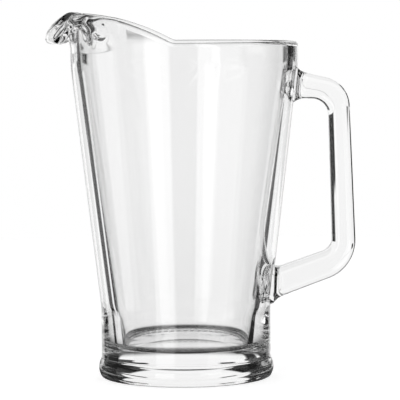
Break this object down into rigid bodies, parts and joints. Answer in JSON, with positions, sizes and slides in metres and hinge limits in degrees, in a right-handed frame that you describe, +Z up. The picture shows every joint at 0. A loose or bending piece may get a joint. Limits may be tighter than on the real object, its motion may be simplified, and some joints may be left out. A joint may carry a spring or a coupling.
{
  "type": "beer pitcher",
  "caption": "Heavy clear pressed-glass beer pitcher with a thick foot, a tapered wall, a raised and rolled pouring lip and a solid D-shaped handle.",
  "frame": {"origin": "on the bore's axis, in the plane of the bearing ring under the foot", "axes": "+Z up along the bore, +X towards the handle, -X towards the pouring lip, +Y across the pitcher"},
  "size_m": [0.1966, 0.145, 0.2326],
  "materials": {
    "clear_glass": "polished"
  },
  "bodies": {
    "root": {"base": "clear_glass", "side_wall": "clear_glass", "rim_spout": "clear_glass", "handle": "clear_glass", "upper_handle_root": "clear_glass", "lower_handle_root": "clear_glass"}
  },
  "joints": []
}
